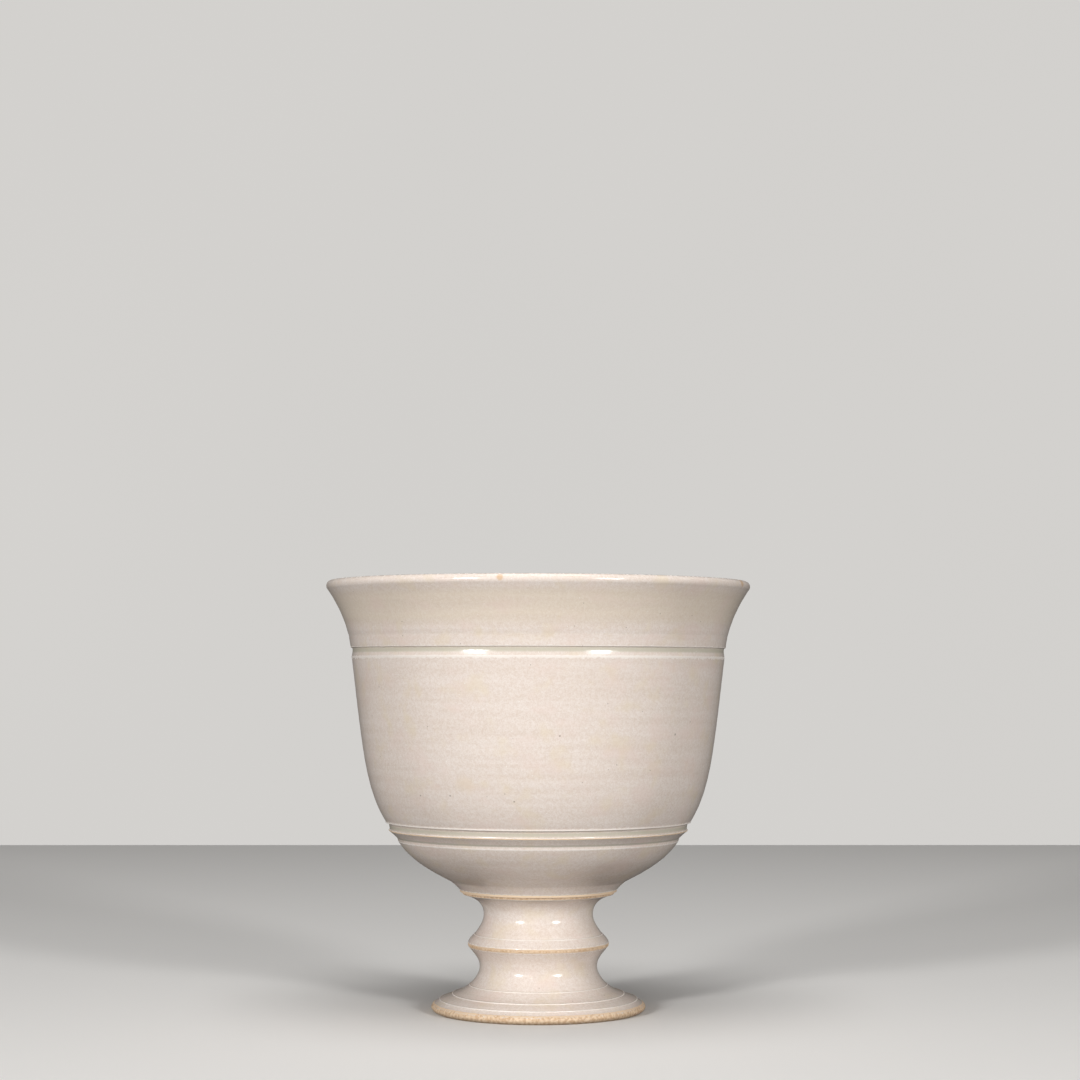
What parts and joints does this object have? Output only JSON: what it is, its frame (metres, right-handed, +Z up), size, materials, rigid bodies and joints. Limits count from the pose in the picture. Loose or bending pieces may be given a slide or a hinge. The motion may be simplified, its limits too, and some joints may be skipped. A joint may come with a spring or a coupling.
{
  "type": "stem cup",
  "caption": "Footed stem cup: a deep bowl with a flared, rolled lip, on a short hollow stem with a knop and a spreading foot that it stands on.",
  "frame": {"origin": "middle of the plane that the foot stands on", "axes": "+Z up along the axis that every section is turned about; X and Y are free, because the cup is round"},
  "size_m": [0.0848, 0.0848, 0.0858],
  "materials": {
    "glaze": "gloss",
    "slip": "matte"
  },
  "bodies": {
    "root": {"foot": "glaze", "knop_slip": "slip", "stem": "glaze", "collar_slip": "slip", "bowl": "glaze"}
  },
  "joints": []
}
